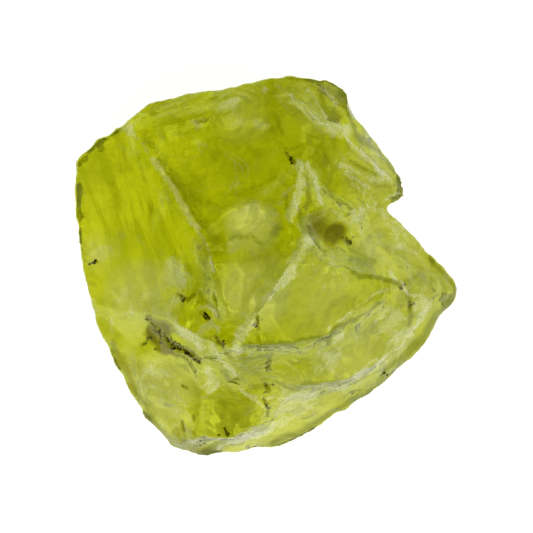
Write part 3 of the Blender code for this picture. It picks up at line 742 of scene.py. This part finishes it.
def grain_tree(name, finish, roundness):
    """Geometry Nodes: a lumpy pebble on each point, each turned and sized by the seed."""
    tree = bpy.data.node_groups.new(name, "GeometryNodeTree")
    tree.interface.new_socket("Geometry", in_out="INPUT", socket_type="NodeSocketGeometry")
    tree.interface.new_socket("Grain Radius", in_out="INPUT", socket_type="NodeSocketFloat")
    tree.interface.new_socket("Seed", in_out="INPUT", socket_type="NodeSocketInt")
    tree.interface.new_socket("Geometry", in_out="OUTPUT", socket_type="NodeSocketGeometry")
    nodes, links = tree.nodes, tree.links
    given = nodes.new("NodeGroupInput")
    made = nodes.new("NodeGroupOutput")
    pebble = nodes.new("GeometryNodeMeshIcoSphere")
    pebble.inputs["Subdivisions"].default_value = roundness
    links.new(given.outputs["Grain Radius"], pebble.inputs["Radius"])
    sizes = nodes.new("FunctionNodeRandomValue")
    sizes.data_type = "FLOAT_VECTOR"
    sizes.inputs["Min"].default_value = SLIMMEST_GRAIN
    sizes.inputs["Max"].default_value = FATTEST_GRAIN
    links.new(given.outputs["Seed"], sizes.inputs["Seed"])
    turns = nodes.new("FunctionNodeRandomValue")
    turns.data_type = "FLOAT_VECTOR"
    turns.inputs["Max"].default_value = (math.tau, math.tau, math.tau)
    links.new(given.outputs["Seed"], turns.inputs["Seed"])
    scatter = nodes.new("GeometryNodeInstanceOnPoints")
    links.new(given.outputs["Geometry"], scatter.inputs["Points"])
    links.new(pebble.outputs["Mesh"], scatter.inputs["Instance"])
    links.new(turns.outputs["Value"], scatter.inputs["Rotation"])
    links.new(sizes.outputs["Value"], scatter.inputs["Scale"])
    realize = nodes.new("GeometryNodeRealizeInstances")
    links.new(scatter.outputs["Instances"], realize.inputs["Geometry"])
    lumps = nodes.new("ShaderNodeTexNoise")
    lumps.inputs["Scale"].default_value = LUMP_SCALE
    centre = nodes.new("ShaderNodeVectorMath")
    centre.operation = "SUBTRACT"
    centre.inputs[1].default_value = (0.5, 0.5, 0.5)
    links.new(lumps.outputs["Color"], centre.inputs[0])
    shove = nodes.new("ShaderNodeVectorMath")
    shove.operation = "SCALE"
    links.new(centre.outputs["Vector"], shove.inputs[0])
    links.new(given.outputs["Grain Radius"], shove.inputs["Scale"])
    move = nodes.new("GeometryNodeSetPosition")
    links.new(realize.outputs["Geometry"], move.inputs["Geometry"])
    links.new(shove.outputs["Vector"], move.inputs["Offset"])
    coat = nodes.new("GeometryNodeSetMaterial")
    coat.inputs["Material"].default_value = finish
    links.new(move.outputs["Geometry"], coat.inputs["Geometry"])
    links.new(coat.outputs["Geometry"], made.inputs["Geometry"])
    return tree


def grains_at(name, spots, radius, finish, roundness):
    """One mesh of grains, one on each spot. Spots and radius are in millimetres."""
    mesh = bpy.data.meshes.new("grain_spots")
    mesh.from_pydata([Vector(spot) * MM for spot in spots], [], [])
    piece = bpy.data.objects.new("grain_spots", mesh)
    bpy.context.scene.collection.objects.link(piece)
    modifier = piece.modifiers.new("grains", "NODES")
    modifier.node_group = grain_tree(name, finish, roundness)
    values = {"Grain Radius": radius * MM, "Seed": GRAIN_SEED}
    for item in modifier.node_group.interface.items_tree:
        if item.in_out == "INPUT" and item.name in values:
            modifier[item.identifier] = values[item.name]
    evaluated = piece.evaluated_get(bpy.context.evaluated_depsgraph_get())
    grains = bpy.data.objects.new(name, bpy.data.meshes.new_from_object(evaluated))
    bpy.context.scene.collection.objects.link(grains)
    bpy.data.objects.remove(piece)
    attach(grains, "root")


def mottled_tone():
    """A shader node group for both kinds of grain: fine noise mixes a dark and a light tone."""
    group = bpy.data.node_groups.new("mottled_tone", "ShaderNodeTree")
    group.interface.new_socket("Scale", in_out="INPUT", socket_type="NodeSocketFloat")
    group.interface.new_socket("Dark", in_out="INPUT", socket_type="NodeSocketColor")
    group.interface.new_socket("Light", in_out="INPUT", socket_type="NodeSocketColor")
    group.interface.new_socket("Color", in_out="OUTPUT", socket_type="NodeSocketColor")
    nodes, links = group.nodes, group.links
    given = nodes.new("NodeGroupInput")
    made = nodes.new("NodeGroupOutput")
    place = nodes.new("ShaderNodeTexCoord")
    mottle = nodes.new("ShaderNodeTexNoise")
    links.new(given.outputs["Scale"], mottle.inputs["Scale"])
    links.new(place.outputs["Object"], mottle.inputs["Vector"])
    tones = nodes.new("ShaderNodeMix")
    tones.data_type = "RGBA"
    links.new(mottle.outputs["Fac"], tones.inputs["Factor"])
    links.new(given.outputs["Dark"], tones.inputs["A"])
    links.new(given.outputs["Light"], tones.inputs["B"])
    links.new(tones.outputs["Result"], made.inputs["Color"])
    return group


def put_mottle(material, scale, dark, light):
    """Places the mottle group in a material, with its own values, and leads it to the base colour."""
    nodes = material.node_tree.nodes
    mottle = nodes.new("ShaderNodeGroup")
    mottle.node_tree = MOTTLED_TONE
    mottle.inputs["Scale"].default_value = scale
    mottle.inputs["Dark"].default_value = (*dark, 1.0)
    mottle.inputs["Light"].default_value = (*light, 1.0)
    material.node_tree.links.new(mottle.outputs["Color"], nodes["Principled BSDF"].inputs["Base Color"])


def chromite():
    """Black, a little shiny, faintly brown where it is thin."""
    material = bpy.data.materials.new("black_chromite")
    material.use_nodes = True
    material.node_tree.nodes["Principled BSDF"].inputs["Roughness"].default_value = 0.45
    put_mottle(material, 12000.0, (0.006, 0.005, 0.003), (0.045, 0.030, 0.010))
    return material


MOTTLED_TONE = mottled_tone()
ABOVE_THE_STONE = 20.0
stone_surface = BVHTree.FromPolygons(
    [vertex.co / MM for vertex in stone_mesh.vertices], [face.vertices for face in stone_mesh.polygons]
)


def under_surface(x, y, depth):
    """A place that deep under the top of the stone, in millimetres."""
    top = stone_surface.ray_cast(Vector((x, y, ABOVE_THE_STONE)), Vector((0, 0, -1)))[0]
    return top - Vector((0, 0, depth))


grain_spots = []
for x, y in GRAINS:
    for _ in range(GRAINS_TOGETHER):
        aside = (draw.gauss(0.0, GRAIN_SPREAD), draw.gauss(0.0, GRAIN_SPREAD))
        grain_spots.append(under_surface(x + aside[0], y + aside[1], draw.uniform(*GRAIN_DEPTH)))
grains_at("chromite_grains", grain_spots, GRAIN_RADIUS, chromite(), 3)

# Rust in the open crack under the ledge and at the edge of the pit: brown iron oxide that water
# left there in small flakes, held in the crack just under the stone's surface.
RUST_RADIUS = 0.05
RUST_DEPTH = (0.03, 0.16)
# Lines that it lies along, as seen from above: points, spread to the sides, number of flakes
RUSTY_CRACKS = [
    ([(-4.3, -1.8), (-3.95, -2.1), (-3.8, -2.5), (-3.85, -3.0)], 0.10, 24),
    ([(-3.8, -2.3), (-3.4, -2.7), (-3.0, -3.0)], 0.11, 50),
    ([(-3.0, -3.0), (-2.7, -3.2), (-2.4, -3.45)], 0.06, 34),
    ([(-4.4, -2.8), (-4.1, -2.5)], 0.08, 8),
    ([(2.7, 1.05), (3.05, 0.85)], 0.08, 10),
]


def rust():
    """Dull brown iron stain, darker in patches."""
    material = bpy.data.materials.new("rust_stain")
    material.use_nodes = True
    shader = material.node_tree.nodes["Principled BSDF"]
    shader.inputs["Roughness"].default_value = 0.9
    shader.inputs["Specular IOR Level"].default_value = 0.1
    put_mottle(material, 3000.0, (0.030, 0.022, 0.001), (0.22, 0.17, 0.006))
    return material


rust_spots = []
for line, spread, count in RUSTY_CRACKS:
    for _ in range(count):
        stretch = draw.randrange(len(line) - 1)
        place = Vector(line[stretch]).lerp(Vector(line[stretch + 1]), draw.random())
        place += Vector((draw.gauss(0.0, spread / 2), draw.gauss(0.0, spread / 2)))
        rust_spots.append(under_surface(place.x, place.y, draw.uniform(*RUST_DEPTH)))
grains_at("rust_in_the_crack", rust_spots, RUST_RADIUS, rust(), 2)

# The floor: a plain white sheet that glows evenly, as if it were lit from below. It lies a hair
# under the resting face, so that the two never share a plane.
FLOOR_REACH = 0.6
FLOOR_DROP = -0.00003
floor_mesh = bpy.data.meshes.new("pale_floor")
corners = [(x * FLOOR_REACH, y * FLOOR_REACH, FLOOR_DROP) for x, y in ((-1, -1), (1, -1), (1, 1), (-1, 1))]
floor_mesh.from_pydata(corners, [], [(0, 1, 2, 3)])
floor = bpy.data.objects.new("pale_floor", floor_mesh)
bpy.context.scene.collection.objects.link(floor)
paper = bpy.data.materials.new("white_paper")
paper.use_nodes = True
paper_shader = paper.node_tree.nodes["Principled BSDF"]
paper_shader.inputs["Base Color"].default_value = (0.88, 0.88, 0.88, 1.0)
paper_shader.inputs["Roughness"].default_value = 0.7
paper_shader.inputs["Specular IOR Level"].default_value = 0.2
paper_shader.inputs["Emission Color"].default_value = (0.96, 0.96, 1.0, 1.0)
paper_shader.inputs["Emission Strength"].default_value = 0.86
floor_mesh.materials.append(paper)

# Soft studio light: a dim pale room that glows round its horizon, with soft bright zones in it.
# All light that comes from above the horizon is slightly warm.
DIM_ROOM = 0.04
WHITE_LIGHT = (1.0, 1.0, 1.0, 1.0)
WARM_LIGHT = (1.0, 0.98, 0.52, 1.0)
world = bpy.data.worlds.new("pale_room")
bpy.context.scene.world = world
world.use_nodes = True
room_nodes = world.node_tree.nodes
room_links = world.node_tree.links
direction = room_nodes.new("ShaderNodeTexCoord").outputs["Generated"]


def soft_zone(axis, dark_at, bright_at, strength):
    """A zone that brightens towards the axis, between two cosines of the angle to it."""
    facing = room_nodes.new("ShaderNodeVectorMath")
    facing.operation = "DOT_PRODUCT"
    facing.inputs[1].default_value = axis
    room_links.new(direction, facing.inputs[0])
    zone = room_nodes.new("ShaderNodeMapRange")
    zone.interpolation_type = "SMOOTHSTEP"
    zone.inputs["From Min"].default_value = dark_at
    zone.inputs["From Max"].default_value = bright_at
    zone.inputs["To Max"].default_value = strength
    room_links.new(facing.outputs["Value"], zone.inputs["Value"])
    return zone.outputs["Result"]


def towards(azimuth, elevation):
    """The way out from the stone, in degrees round it from the front to the right, and upwards."""
    turn = math.radians(azimuth)
    rise = math.radians(elevation)
    return Vector((math.sin(turn) * math.cos(rise), -math.cos(turn) * math.cos(rise), math.sin(rise)))


DOWN = (0, 0, -1)
UP = (0, 0, 1)
# The horizon; low in front, in front on the right and behind on the right; a small one higher up
# in front on the left; and one straight overhead
zones = [
    soft_zone(DOWN, -0.42, -0.05, 0.7),
    soft_zone(towards(10, 38), 0.88, 0.98, 1.8),
    soft_zone(towards(52, 38), 0.84, 0.97, 0.9),
    soft_zone(towards(125, 36), 0.88, 0.97, 1.2),
    soft_zone(towards(-20, 62), 0.975, 0.992, 3.5),
    soft_zone(UP, 0.93, 0.985, 1.6),
]
room_light = zones[0]
for zone in zones[1:]:
    add = room_nodes.new("ShaderNodeMath")
    room_links.new(room_light, add.inputs[0])
    room_links.new(zone, add.inputs[1])
    room_light = add.outputs["Value"]
dim_light = room_nodes.new("ShaderNodeMath")
dim_light.inputs[1].default_value = DIM_ROOM
room_links.new(room_light, dim_light.inputs[0])
warmth = room_nodes.new("ShaderNodeMix")
warmth.data_type = "RGBA"
warmth.inputs["A"].default_value = WHITE_LIGHT
warmth.inputs["B"].default_value = WARM_LIGHT
room_links.new(soft_zone(UP, -0.05, 0.20, 1.0), warmth.inputs["Factor"])
room_links.new(warmth.outputs["Result"], room_nodes["Background"].inputs["Color"])
room_links.new(dim_light.outputs["Value"], room_nodes["Background"].inputs["Strength"])

# The camera looks straight down, as in the photo, with the stone filling most of the frame. The
# frame has this width at about half the stone's height.
FRAME_WIDTH = 0.0193
MIDDLE_HEIGHT = 0.004
LENS = 600.0
camera_data = bpy.data.cameras.new("camera")
camera_data.lens = LENS
camera_data.clip_start = 0.001
camera = bpy.data.objects.new("camera", camera_data)
half_view = math.atan(camera_data.sensor_width / 2 / LENS)
camera.location = (0.0, 0.0, MIDDLE_HEIGHT + FRAME_WIDTH / 2 / math.tan(half_view))
bpy.context.scene.collection.objects.link(camera)
bpy.context.scene.camera = camera

# Plain colours, and enough bounces for light to cross the clear stone many times
bpy.context.scene.view_settings.view_transform = "Standard"
bpy.context.scene.cycles.max_bounces = 18
bpy.context.scene.cycles.transmission_bounces = 18
bpy.context.scene.cycles.glossy_bounces = 12
